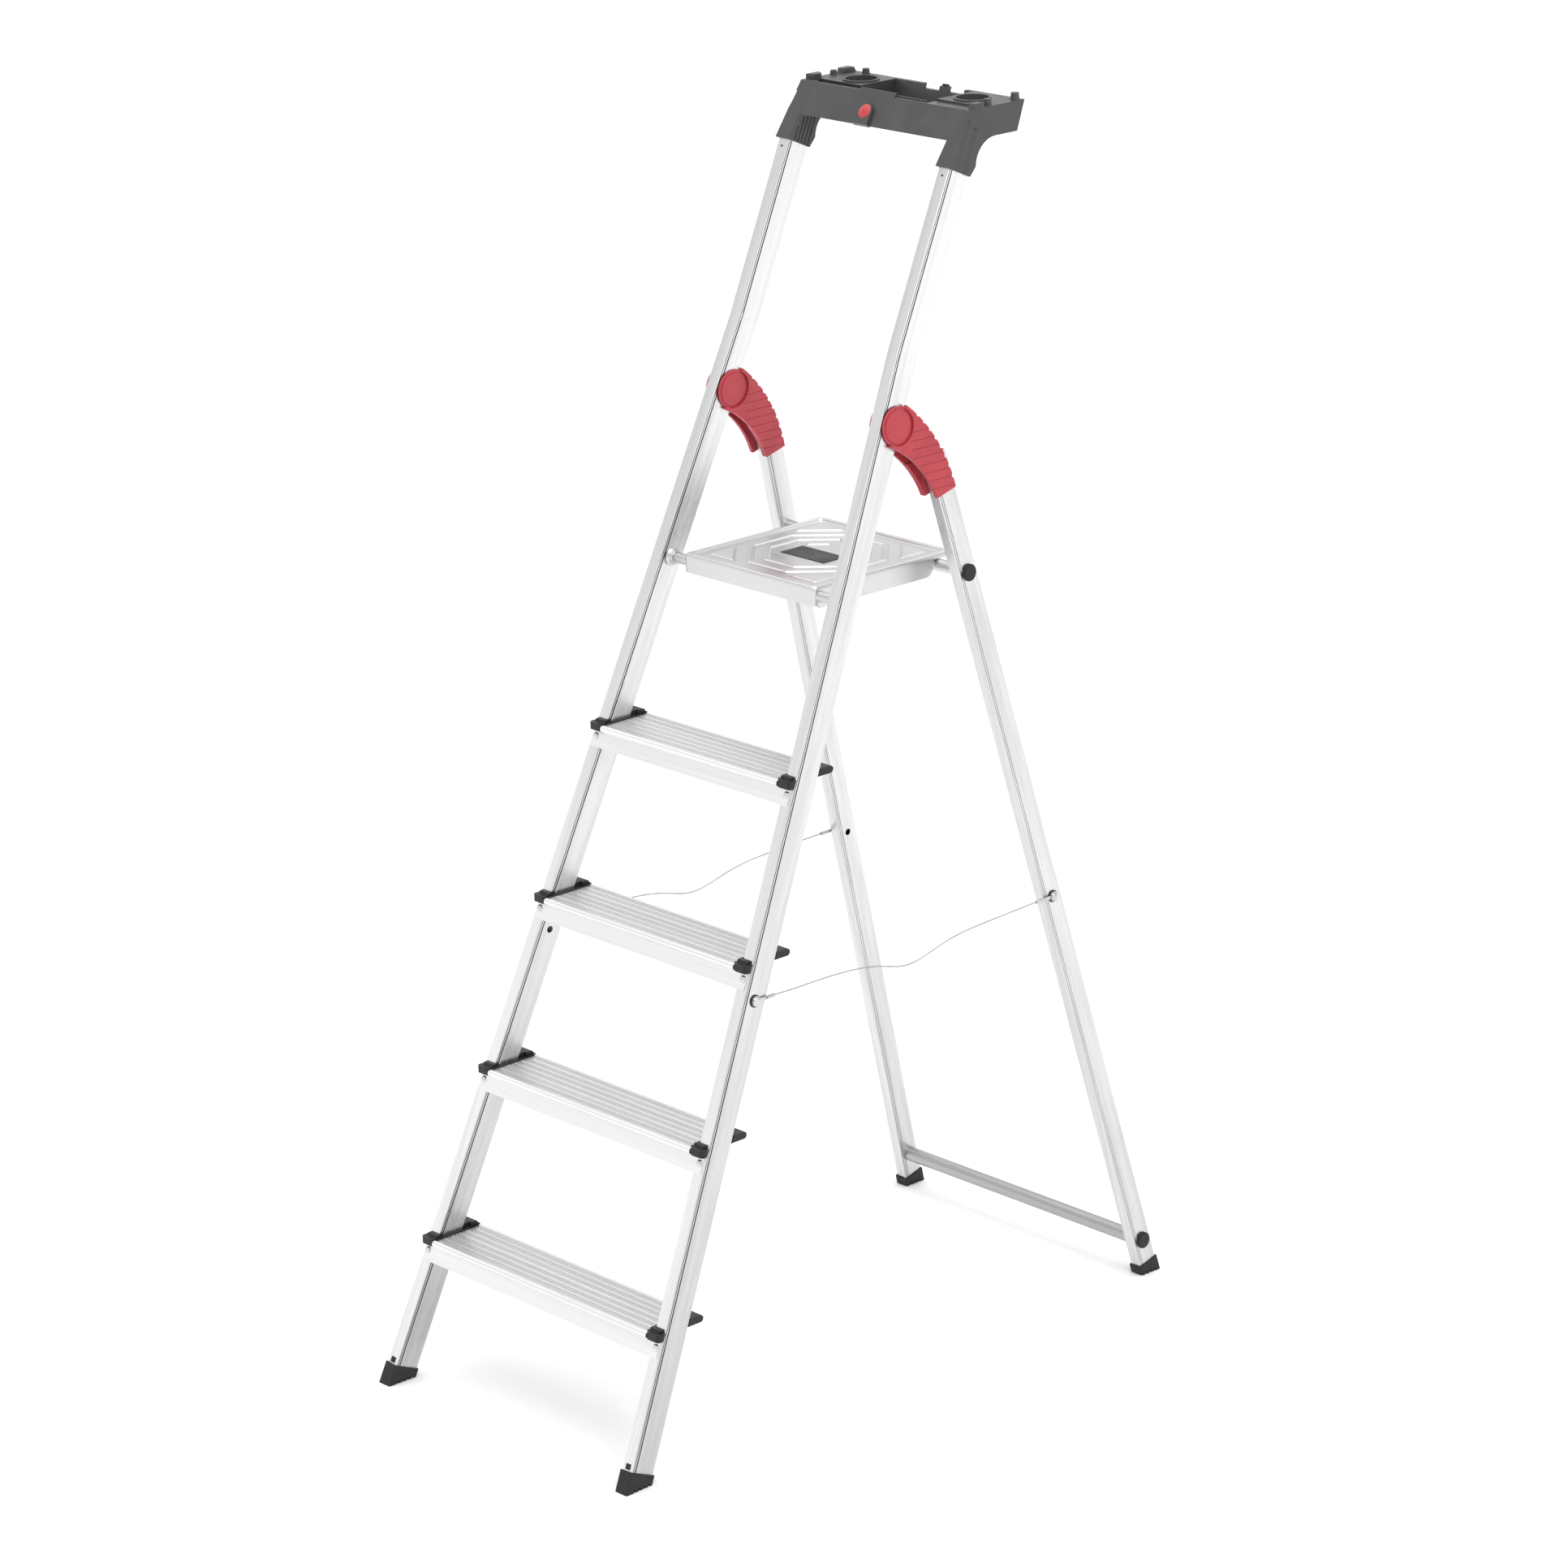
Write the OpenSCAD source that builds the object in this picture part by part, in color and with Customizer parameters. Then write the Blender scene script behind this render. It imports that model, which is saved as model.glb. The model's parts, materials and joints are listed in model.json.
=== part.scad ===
// Folding household step ladder: four treads, a tilting platform and a tool tray.
// X runs across, the climbing side faces -Y, Z is up and the feet stand on Z = 0.

/* [Overall] */
// Height of the platform's top face
platform_h = 1025; // [1022:1:1028]
// Height of the lowest tread
first_tread_h = 183; // [180:1:186]
// Rise from one tread to the next
step_rise = 210; // [207:1:211]
// Lean of the front stiles from the vertical
stile_lean = 23.5; // [23.3:0.1:23.7]
// Lean of the rear legs from the vertical
leg_lean = 15; // [14.8:0.1:15.2]

/* [Front stiles] */
// Width of the stile across the ladder
stile_w = 18; // [17:0.5:19]
// Depth of the stile from front to back
stile_d = 36.5; // [36:0.5:37]
// Wall thickness of every hollow bar
wall = 1.4; // [1.2:0.1:1.8]
// Half the width over the stiles above the bend
top_half_w = 150.4; // [150:0.1:151]
// Height of the bend where the stiles start to spread
bend_h = 1306; // [1300:1:1312]
// Spread of each stile below the bend
stile_splay = 3.41; // [3.3:0.01:3.5]

/* [Rear legs] */
// Width of the leg across the ladder
leg_w = 17; // [16:0.5:17.5]
// Depth of the leg from front to back
leg_d = 30; // [29:0.5:31]
// Half the width over the legs at the hinge
leg_half_w = 157.2; // [157:0.1:157.6]
// Spread of each leg
leg_splay = 3.3; // [3.2:0.05:3.4]
// Radius of the rod that the platform rests on
rear_rod_r = 8; // [7:0.5:8]
// Radius of the tube near the floor
cross_tube_r = 9.8; // [8:0.2:10]

/* [Treads] */
// Depth of a tread from its nose to its rear edge
tread_d = 80; // [79:1:81]
// Height of the skirt below the tread's top
skirt_h = 29; // [27:1:30]
// Thickness of the tread's metal
tread_t = 2; // [1.8:0.1:2.4]

/* [Platform] */
// Half the platform's width
plat_half_w = 119; // [117:0.5:120]
// Depth of the platform from front to back
plat_d = 239.5; // [238:0.5:240]
// Height of the platform's side skirts
plat_skirt = 28; // [27:1:29]

/* [Tray] */
// Half the width of the tool tray
tray_half_w = 152.9; // [152.9:0.1:154]
// Radius of the two round holes for tools
tray_hole_r = 20.5; // [18:0.5:21]

/* [Part to show] */
// Sub-part to draw, or all of them

/* [Hidden] */
$fn = 48;

silver = [0.78, 0.79, 0.80];
bright = [0.86, 0.87, 0.88];
black = [0.13, 0.13, 0.14];
red = [0.62, 0.10, 0.12];

// Front frame: the stile's front face leans back from this line on the floor
floor_y = -475;
lean_t = tan(stile_lean);
bend_s = bend_h / cos(stile_lean);
stile_top_s = 1528 / cos(stile_lean);
stile_low_s = 14;
tread_hs = [for (i = [0:3]) first_tread_h + i * step_rise];

// Rear frame: everything is placed from the hinge pivot
pivot_y = 82;
pivot_h = 1214;
leg_front = 37;
leg_mid = leg_front + leg_d / 2;
leg_top_s = -62;
leg_low_s = -1262;
rear_rod_s = -226;
cross_tube_s = -1222;
disc_r = 25;
disc_t = 1.6;
shell_t = 5;
outer_gap = 0.6;
inner_x = -20.2;

// Rods that the platform turns on and rests on
rod_r = 7;
rod_h = 1012;
rod_y = front_y(rod_h) + stile_d / 2 / cos(stile_lean);
plat_y = -24.5;

// Height of the rope's bolts, and the route of each rope from stile to leg
rope_h = 558;
rope_r = 0.9;
rope_route = [
  [200.3, -192, 558.1], [200, -180.5, 558.1], [199.9, -147, 557.2], [199.9, -119, 557.3],
  [199.8, -91, 556.9], [199.7, -63, 555.7], [199.6, -35, 553.2], [199.6, -11, 549.2],
  [199.5, 11, 543.7], [199.5, 29, 538.7], [199.4, 46, 536.3], [199.4, 61, 536.9],
  [199.4, 77, 539.7], [199.3, 93, 543.7], [199.3, 109, 547.7], [199.2, 129, 551.5],
  [199.2, 153, 554.3], [199.1, 181, 555.8], [199, 211, 557], [199, 241, 558.2],
  [198.9, 262, 559], [198.9, 279.3, 559.2], [199.05, 290.8, 559.2]
];

// Y of the stile's front face at a height, and half the width over the stiles
function front_y(h) = floor_y + h * lean_t;
function half_w(h) = top_half_w + max(0, bend_h - h) * tan(stile_splay) / cos(stile_lean);

// Points along an arc
function arc(c, r, a0, a1, n) =
  [for (i = [0:n]) c + r * [cos(a0 + (a1 - a0) * i / n), sin(a0 + (a1 - a0) * i / n)]];

// Both sides of the ladder
module both() {
  children();
  mirror([1, 0, 0]) children();
}

// Frame of the leaning front face: X across, Y into the depth, Z up the slope
module on_lean() {
  translate([0, floor_y, 0]) rotate([-stile_lean, 0, 0]) children();
}

// Frame of the right stile below its bend, with X = 0 on the outer face
module on_stile() {
  on_lean() translate([top_half_w, 0, bend_s]) rotate([0, -stile_splay, 0])
    translate([0, 0, -bend_s]) children();
}

// Frame of the right leg, with X = 0 on the outer face and the pivot at the origin
module on_leg() {
  translate([leg_half_w, pivot_y, pivot_h]) rotate([leg_lean, 0, 0])
    rotate([0, -leg_splay, 0]) children();
}

// Flat shape drawn in Y and Z, given a thickness from x0 to x1
module along_x(x0, x1) {
  translate([x0, 0, 0]) rotate([90, 0, 90]) linear_extrude(x1 - x0) children();
}

module rod_x(r, x0, x1) {
  translate([x0, 0, 0]) rotate([0, 90, 0]) cylinder(r = r, h = x1 - x0);
}

module rounded(w, d, r) {
  translate([r, 0]) square([w - 2 * r, d]);
  translate([0, r]) square([w, d - 2 * r]);
  for (x = [r, w - r], y = [r, d - r]) translate([x, y]) circle(r = r);
}

// Low dome that stands on Z = 0
module dome(r, h) {
  ball = (r * r + h * h) / (2 * h);
  rotate_extrude() intersection() {
    translate([0, h - ball]) circle(r = ball, $fn = 360);
    square([r, h]);
  }
}

// ---- Front stiles --------------------------------------------------------

// Hollow section with two fine grooves on each side next to its front face
module bar_section(w, d) {
  difference() {
    translate([-w, 0]) rounded(w, d, 1.8);
    translate([wall - w, wall]) rounded(w - 2 * wall, d - 2 * wall, 0.8);
    for (x = [-0.9, -w - 0.1]) {
      translate([x, 1.7]) square([1, 1]);
      translate([x, 4.4]) square([1, 1.9]);
    }
  }
}

// Half space beyond the mitre plane at the bend
module mitre_cut(z0, z1) {
  translate([top_half_w, 0, bend_s]) rotate([0, -stile_splay / 2, 0])
    translate([-50, -10, z0]) cube([100, 60, z1 - z0]);
}

module stile_bar() {
  difference() {
    on_stile() translate([0, 0, stile_low_s]) linear_extrude(bend_s - stile_low_s + 4)
      bar_section(stile_w, stile_d);
    on_lean() mitre_cut(-0.04, 20);
  }
}

module stile_rail() {
  difference() {
    on_lean() translate([top_half_w, 0, bend_s - 4]) linear_extrude(stile_top_s - bend_s + 4)
      bar_section(stile_w, stile_d);
    on_lean() mitre_cut(-20, 0.04);
  }
}

// Solid web inside the bend that ties both lengths together
module stile_web() {
  on_lean() translate([top_half_w, 0, bend_s]) rotate([0, -stile_splay / 2, 0])
    translate([0.8 - stile_w, 0.8, -5]) cube([stile_w - 1.6, stile_d - 1.6, 10]);
}

module stile() {
  difference() {
    union() {
      stile_bar();
      stile_rail();
      stile_web();
    }
    hinge_pin(4.02);
    rod_line() rod_x(rod_r, 100, 162);
    for (h = tread_hs) at_rivet(h) cylinder(r = 2.4, h = 12, center = true);
    at_stile_bolt() rod_x(3, -8, 2);
    at_stile_bolt() rod_x(4.5, -20, -8);
    at_foot_latch() cube([8, 6, 7.4], center = true);
    at_tray_pin() cylinder(r = 1.6, h = 10, center = true);
  }
}

module stile_left() {
  color(silver) mirror([1, 0, 0]) stile();
}

module stile_right() {
  color(silver) stile();
}

// Places on the right stile where something passes through or sits on it
module at_rivet(h) {
  z = h - 17.3;
  translate([half_w(z) - 8.7, front_y(z), z]) rotate([90 - stile_lean, 0, 0]) children();
}

module at_stile_bolt() {
  up = (rope_h + stile_d / 2 * sin(stile_lean)) / cos(stile_lean);
  s = bend_s - (bend_s - up) / cos(stile_splay);
  on_stile() translate([0, stile_d / 2, s]) children();
}

module at_foot_latch() {
  on_stile() translate([-9, 0, 31]) children();
}

module at_tray_pin() {
  on_lean() translate([top_half_w - stile_w + 9.5, 0, 1507 / cos(stile_lean)])
    rotate([90, 0, 0]) children();
}

// ---- Treads --------------------------------------------------------------

// Extruded tread seen from its end: ribbed deck, round nose and leaning skirt
module tread_section() {
  nose_r = 4.3;
  nose_y = nose_r - 13.3;
  back_y = tread_d - 13.3;
  difference() {
    union() {
      translate([nose_y, -tread_t]) square([back_y - nose_y, tread_t]);
      translate([nose_y, -nose_r]) circle(r = nose_r);
      polygon([[nose_y - 1, -2], [4, -2], [-4, -12], [-7, -11], [nose_y, -8.4]]);
      translate([back_y - tread_t, -13]) square([tread_t, 13]);
      translate([back_y - 9, -13]) square([9, tread_t]);
      for (y = [18, 40]) translate([y, -9]) square([tread_t, 9]);
    }
    for (i = [0:23]) if (i % 4 != 3) translate([-5.4 + i * 3, -0.55]) square([1.3, 1]);
  }
  // return lip along the bottom of the skirt
  translate([-skirt_h * lean_t + 0.3, -skirt_h]) square([8, tread_t]);
}

// Skirt flush on the stiles' front faces
module skirt_section() {
  t = 1.9 / cos(stile_lean);
  polygon([
    [-10 * lean_t, -10], [-10 * lean_t - t, -10],
    [-skirt_h * lean_t - t, -skirt_h], [-skirt_h * lean_t, -skirt_h]
  ]);
}

module tread(h) {
  inner = half_w(h) - stile_w - 3;
  outer = half_w(h) - 2.2;
  color(bright) difference() {
    translate([0, front_y(h), h]) {
      along_x(-inner, inner) tread_section();
      along_x(-outer, outer) skirt_section();
    }
    both() at_rivet(h) cylinder(r = 2.4, h = 12, center = true);
  }
}

module tread_1() {
  tread(tread_hs[0]);
}

module tread_2() {
  tread(tread_hs[1]);
}

module tread_3() {
  tread(tread_hs[2]);
}

module tread_4() {
  tread(tread_hs[3]);
}

// Plastic end cap: strip beside the deck, nub before the stile and bumper behind it
module tread_cap(h) {
  x0 = half_w(h) - stile_w;
  teeth = 13;
  translate([x0, front_y(h), h]) difference() {
    union() {
      along_x(-2.95, -0.3) polygon([[-9, -9], [-12, -3], [-9, 1.2], [67, 1.2], [67, -9]]);
      // toothed flange that laps over the deck
      linear_extrude(1.2) polygon(concat(
        [[-2.95, 64], [-2.95, -8]],
        [for (i = [0:teeth - 1], k = [0, 1]) [k == 0 ? -5 : -7.5, -8 + (i + k * 0.5) * 72 / teeth]]
      ));
      // nub and low ledge before the stile
      translate([-2.95, -12.6, -8]) linear_extrude(9.6) rounded(22, 22, 4.5);
      along_x(-2.95, 14) polygon([[-7, 0], [-4.4, 5], [6, 5], [1, 0]]);
      // rounded bumper behind the stile
      along_x(0, 17) polygon(concat(
        [[30, -3], [30, 6.3]], arc([59.4, 1.65], 4.65, 90, -90, 10)
      ));
      along_x(-2.95, 1) polygon(concat(
        [[50, -3], [52, 6.3]], arc([59.4, 1.65], 4.65, 90, -90, 10)
      ));
    }
    // room for the deck's end
    along_x(-8, -2.95) translate([-20, -20]) square([100, 20]);
  }
}

module tread_caps() {
  color(black) both() difference() {
    for (h = tread_hs) tread_cap(h);
    // clearance round the stile, open to the outside
    on_stile() translate([-stile_w - 0.25, -0.3, 0]) cube([60, stile_d + 0.6, bend_s]);
  }
}

module tread_rivets() {
  color(bright) both() for (h = tread_hs) at_rivet(h) {
    translate([0, 0, 1.9]) cylinder(r = 4.6, h = 0.8);
    translate([0, 0, 2.7]) dome(4.6, 1.9);
    translate([0, 0, -wall]) cylinder(r = 2.4, h = wall + 1.95);
  }
}

// ---- Front feet and rod --------------------------------------------------

module sole_notches(y0, n) {
  for (i = [0:n - 1]) translate([100, y0 + i * 8, -1]) cube([200, 3, 4.4]);
}

module front_foot() {
  difference() {
    intersection() {
      on_stile() translate([-stile_w - 2, -2.4, -30])
        linear_extrude(55.6) rounded(stile_w + 4, stile_d + 4.2, 2.5);
      translate([150, floor_y - 40, 0]) cube([150, 120, 60]);
    }
    on_stile() translate([0, 0, stile_low_s]) linear_extrude(60)
      translate([-stile_w, 0]) rounded(stile_w, stile_d, 1.8);
    sole_notches(floor_y + 10, 4);
  }
  // spring latch that shows in the stile's window
  at_foot_latch() translate([0, 0.8, 0]) cube([7.4, 3.2, 6.8], center = true);
}

module front_feet() {
  color(black) both() front_foot();
}

module rod_line() {
  translate([0, rod_y, rod_h]) children();
}

module front_rod() {
  end = half_w(rod_h) - 6;
  color(silver) rod_line() rod_x(rod_r, -end, end);
}

// Flared collars that grip the rod beside each stile
module rod_collars() {
  x = half_w(rod_h) - stile_w - 1.2;
  color(silver) both() rod_line() translate([x, 0, 0]) rotate([0, -90, 0]) rotate_extrude()
    polygon([[rod_r, 0], [11.8, 0], [11.8, 1.5], [9.6, 4], [8.6, 9], [rod_r, 9]]);
}

// ---- Tool tray -----------------------------------------------------------

tray_top = 1583;
tray_low = 1545.5;
tray_lean = 0.7;

function tray_front(h) = 180 + (h - 1517) * tray_lean;

module tray_bin_section() {
  polygon([
    [tray_front(tray_low), tray_low], [tray_front(tray_top), tray_top],
    [313.4, tray_top], [300, tray_low]
  ]);
}

// Sleeve over the stile's top, curved into the bin's bottom
module tray_socket_section() {
  polygon(concat(
    [[tray_front(1517), 1517.4], [tray_front(tray_top), tray_top]],
    [[313.4, tray_top], [300, tray_low]],
    arc([262, 1511], 34.5, 90, 178, 8),
    [[217.5, 1500.8]]
  ));
}

// Open space in the bin between two depths, measured at its top
module tray_cavity(x0, x1, front, back) {
  floor_h = tray_low + 3;
  along_x(x0, x1) polygon([
    [max(tray_front(floor_h) + 3, front), floor_h], [max(tray_front(tray_top) + 3, front), tray_top],
    [max(tray_front(tray_top) + 3, front), tray_top + 9],
    [back, tray_top + 9], [min(back, 297), floor_h]
  ]);
}

// Frame on the front wall at the round badge
module on_badge() {
  translate([-19.5, tray_front(1560), 1560]) rotate([90 - atan(tray_lean), 0, 0]) children();
}

module tray_body() {
  along_x(-tray_half_w, tray_half_w) tray_bin_section();
  both() along_x(top_half_w - stile_w - 2, tray_half_w) tray_socket_section();
  // raised middle of the front wall
  along_x(-47, 16) polygon([
    [tray_front(1575), 1575], [tray_front(1585.5), 1585.5],
    [tray_front(1585.5) + 4, 1585.5], [tray_front(1575) + 4, 1575]
  ]);
  // boss behind the round badge, running down to the bottom edge
  on_badge() translate([0, 0, -3]) linear_extrude(7)
    polygon(concat(arc([0, 0], 11.5, 10, 170, 16), [[-13.5, -18], [13.5, -18]]));
}

module peg(x, y, r, h) {
  translate([x, y, tray_top - 3]) cylinder(r1 = r + 1, r2 = r, h = h + 3);
}

module tray_hooks() {
  // left end: long rounded bump, peg and block, and a peg on the back wall
  translate([-150.4, 0, tray_top - 3]) linear_extrude(9) polygon(concat(
    [[-2, 234], [9, 238]], arc([4, 246], 7, 0, 80, 6), [[-2, 256]]
  ));
  peg(-147, 277, 4.2, 5.5);
  translate([-152.5, 288, tray_top - 3]) along_x(0, 11)
    polygon([[0, 0], [2, 9], [20, 9], [25, 0]]);
  peg(-118, 306, 4.4, 7);
  // right end: block, peg and rear corner bump
  translate([142, 227, tray_top - 3]) cube([10.5, 14, 9]);
  peg(146.5, 255, 4.4, 8);
  peg(146.5, 303, 5, 9);
  // rims of the round holes
  for (x = [-94, 102]) translate([x, 274, tray_top - 1]) cylinder(r = tray_hole_r + 3, h = 3);
  // hump on the back wall
  translate([14, 309.8, tray_top - 8]) along_x(0, 10) square([3, 10.6]);
}

module tool_tray() {
  color(black) difference() {
    union() {
      difference() {
        tray_body();
        // open bin in the middle, and the trough in front of the left shelf
        tray_cavity(-66, 70, 0, 310);
        tray_cavity(-128, -65, 0, 246);
        tray_cavity(-146.5, -127, 233, 246);
        // low stretches of the front wall and dips in the back wall
        translate([16, 210, 1580.4]) cube([93, 18, 20]);
        for (x = [-16, 27]) translate([x, 300, 1577]) cube([28, 20, 20]);
        // soft step in front of the right panel
        translate([69, 210, 1580.4]) cube([76, 34, 20]);
      }
      tray_hooks();
    }
    // round holes that open into the hollows under both shelves
    for (x = [-94, 102]) translate([x, 274, 1540]) cylinder(r = tray_hole_r, h = 60);
    // sleeves for the stiles
    both() on_lean() translate([top_half_w, 0, 1400]) linear_extrude(stile_top_s - 1400)
      translate([-stile_w, 0]) rounded(stile_w, stile_d, 1.8);
    // two small holes in the back wall
    for (x = [-14, 12]) translate([x, 325, 1565]) rotate([90, 0, 0]) cylinder(r = 2, h = 30);
    // ribbed recess on the inner side of each sleeve
    both() on_lean() for (i = [0:4])
      translate([top_half_w - stile_w - 3, 5 + i * 6, 1640])
        cube([1.9, 3.6, [32, 46, 51, 53, 52][i]]);
    // broad flutes on the outer side of each sleeve
    both() on_lean() for (i = [0:1])
      translate([tray_half_w + 6.2, 9 + i * 14, 1600]) cylinder(r = 8, h = 116 - i * 6);
  }
}

module tray_badge() {
  color(red) on_badge() translate([0, 0, 4]) dome(9.3, 1.5);
}

module tray_pins() {
  color(black) both() at_tray_pin() translate([0, 0, -wall]) cylinder(r = 1.6, h = wall + 0.4);
}

// ---- Hinges --------------------------------------------------------------

module hinge_pin(r) {
  translate([0, pivot_y, pivot_h]) rod_x(r, leg_half_w - 22.3, leg_half_w + 2.7);
}

module hinge_pins() {
  color(silver) both() hinge_pin(4);
}

// Side view of the hinge's curved arm with its stepped back
module arm_section() {
  difference() {
    polygon(concat(
      arc([-118, -144.8], 214.9, 52, 14.5, 18),
      arc([-73.6, -152.7], 141.8, 21.8, 66, 14)
    ));
    for (a = [18.5:3.9:48]) translate([-118, -144.8] + 216 * [cos(a), sin(a)])
      circle(r = 3, $fn = 24);
    circle(r = disc_r - 1);
  }
}

// One shell lying on X = 0: thin round head with a hub, and the thicker arm
module shell() {
  along_x(0, disc_t) circle(r = disc_r);
  along_x(disc_t, disc_t + 1) circle(r = disc_r - 4);
  along_x(0, shell_t) arm_section();
}

// The shells are drawn upright round the pivot, then spread with the legs
module on_shell() {
  translate([leg_half_w, pivot_y, pivot_h])
    rotate(a = -leg_splay, v = [0, cos(leg_lean), sin(leg_lean)]) children();
}

module grip_grooves(x) {
  for (i = [0:7]) translate([x - 0.6, 16 + i * 1.5, -11 - i * 11]) cube([1.2, 90, 0.9]);
}

module hinge_outer() {
  difference() {
    on_shell() difference() {
      union() {
        translate([outer_gap, 0, 0]) shell();
        along_x(0.05, outer_gap + 1) intersection() {
          arm_section();
          translate([30, -130]) square([80, 75]);
        }
      }
      grip_grooves(outer_gap + shell_t);
    }
    hinge_pin(4.05);
    at_shell_rivets() rod_x(2.5, -30, 3);
  }
}

module hinge_inner() {
  difference() {
    on_shell() difference() {
      union() {
        translate([inner_x, 0, 0]) mirror([1, 0, 0]) shell();
        along_x(inner_x - 1, -leg_w - 0.05) intersection() {
          arm_section();
          translate([30, -130]) square([80, 75]);
        }
      }
      grip_grooves(inner_x - shell_t);
    }
    hinge_pin(4.05);
    at_shell_rivets() rod_x(2.5, -23, 3);
  }
}

module hinge_outer_left() {
  color(red) mirror([1, 0, 0]) hinge_outer();
}

module hinge_outer_right() {
  color(red) hinge_outer();
}

module hinge_inner_left() {
  color(red) mirror([1, 0, 0]) hinge_inner();
}

module hinge_inner_right() {
  color(red) hinge_inner();
}

// Blind rivets that hold both shells to the leg
module at_shell_rivets() {
  on_leg() for (s = [-76, -96]) translate([0, leg_mid, s]) children();
}

module hinge_rivets() {
  color(silver) both() at_shell_rivets() rod_x(2.5, -23, 3);
}

// ---- Rear legs and cross bars --------------------------------------------

module leg() {
  difference() {
    on_leg() translate([0, leg_front, leg_low_s]) linear_extrude(leg_top_s - leg_low_s)
      bar_section(leg_w, leg_d);
    at_shell_rivets() rod_x(2.5, -30, 3);
    at_leg(rear_rod_s) rod_x(rear_rod_r, -60, 20);
    at_leg(cross_tube_s) rod_x(cross_tube_r, -60, 20);
    at_leg_bolt() rod_x(3, -8, 2);
    at_leg_bolt() rod_x(4.5, -20, -8);
  }
}

// Point on the leg's outer face, keeping X level so that a bar can pass through
module at_leg(s) {
  on_leg() translate([0, leg_mid, s]) rotate([0, leg_splay, 0]) children();
}

module at_leg_bolt() {
  s = (rope_h - pivot_h - leg_mid * sin(leg_lean)) / cos(leg_lean);
  on_leg() translate([0, leg_mid, s]) children();
}

module leg_left() {
  color(silver) mirror([1, 0, 0]) leg();
}

module leg_right() {
  color(silver) leg();
}

function leg_x(s) = leg_half_w - s * sin(leg_splay);

module cross_bar(s, r) {
  y = pivot_y + leg_mid * cos(leg_lean) - s * sin(leg_lean) * cos(leg_splay);
  h = pivot_h + leg_mid * sin(leg_lean) + s * cos(leg_lean) * cos(leg_splay);
  translate([0, y, h]) difference() {
    rod_x(r, -leg_x(s), leg_x(s));
    rod_x(r - 1.3, -leg_x(s) - 1, leg_x(s) + 1);
  }
}

module bar_cap(s, r) {
  at_leg(s) {
    rod_x(r - 1.3, -14, 0.8);
    rotate([0, -leg_splay, 0]) rod_x(11, 0.7, 3.2);
    rotate([0, -leg_splay, 0]) rod_x(9.4, 3.2, 4.4);
  }
}

module rear_rod() {
  color(silver) cross_bar(rear_rod_s, rear_rod_r);
}

module rear_rod_caps() {
  color(black) both() bar_cap(rear_rod_s, rear_rod_r);
}

module cross_tube() {
  color(silver) cross_bar(cross_tube_s, cross_tube_r);
}

module cross_tube_caps() {
  color(black) both() bar_cap(cross_tube_s, cross_tube_r);
}

module rear_foot() {
  difference() {
    intersection() {
      on_leg() translate([-leg_w - 2, leg_front - 2.2, -1290])
        linear_extrude(34.5) rounded(leg_w + 4, leg_d + 4.4, 2.5);
      translate([150, 380, 0]) cube([150, 160, 60]);
    }
    on_leg() translate([0, leg_front, leg_low_s]) linear_extrude(60)
      translate([-leg_w, 0]) rounded(leg_w, leg_d, 1.8);
    sole_notches(450, 3);
  }
}

module rear_feet() {
  color(black) both() rear_foot();
}

// ---- Rope hardware -------------------------------------------------------

// Domed bolt whose shank ends inside the bar
module rope_bolt() {
  rod_x(3, -8, 3);
  translate([3, 0, 0]) rotate([0, 90, 0]) {
    cylinder(r = 5.6, h = 1.6);
    translate([0, 0, 1.6]) dome(5.2, 2.2);
  }
}

module rope_washer() {
  translate([0, 0, 0]) rotate([0, 90, 0]) difference() {
    cylinder(r = 8, h = 1.5);
    translate([0, 0, -1]) cylinder(r = 3, h = 4);
  }
}

// Flat eye on the bolt with the crimped ferrule that holds the rope's end
module rope_lug(side) {
  along_x(1.5, 3) difference() {
    union() {
      circle(r = 6.6);
      translate([side > 0 ? 0 : -20, -2.2]) square([20, 4.4]);
    }
    circle(r = 3);
  }
  translate([2.25, side * 18, 0]) rotate([side * -90, 0, 0]) difference() {
    cylinder(r = 2.4, h = 14);
    translate([0, 0, 2.1]) cylinder(r = rope_r + 0.15, h = 20);
  }
}

// Level frames at the bolts, turned so that the lugs point along the rope
module at_front_lug() {
  at_stile_bolt() rotate([stile_lean, 0, 0]) children();
}

module at_rear_lug() {
  at_leg_bolt() rotate([-leg_lean, 0, 0]) children();
}

module rope_bolts_front() {
  color(silver) both() at_stile_bolt() rope_bolt();
}

module rope_washers_front() {
  color(black) both() at_stile_bolt() rope_washer();
}

module rope_lugs_front() {
  color(bright) both() at_front_lug() rope_lug(1);
}

module rope_bolts_rear() {
  color(silver) both() at_leg_bolt() rope_bolt();
}

module rope_washers_rear() {
  color(black) both() at_leg_bolt() rope_washer();
}

module rope_lugs_rear() {
  color(bright) both() at_rear_lug() rope_lug(-1);
}

// Tube swept along the route as one closed solid
module swept_rope(points, r, sides) {
  n = len(points);
  rings = [for (i = [0:n - 1])
    let (
      a = points[max(0, i - 1)],
      b = points[min(n - 1, i + 1)],
      dir = (b - a) / norm(b - a),
      up = [0, -dir[2], dir[1]]
    )
    for (k = [0:sides - 1])
      points[i] + r * cos(360 * k / sides) * [1, 0, 0] + r * sin(360 * k / sides) * up
  ];
  walls = [for (i = [0:n - 2], k = [0:sides - 1])
    let (j = (k + 1) % sides)
    [i * sides + k, (i + 1) * sides + k, (i + 1) * sides + j, i * sides + j]
  ];
  polyhedron(
    points = rings,
    faces = concat([[for (k = [0:sides - 1]) k]], walls,
      [[for (k = [sides - 1:-1:0]) (n - 1) * sides + k]]),
    convexity = 4
  );
}

module rope(side) {
  color([0.45, 0.45, 0.46])
    swept_rope([for (p = rope_route) [side * p[0], p[1], p[2]]], rope_r, 8);
}

module rope_left() {
  rope(-1);
}

module rope_right() {
  rope(1);
}

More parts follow.
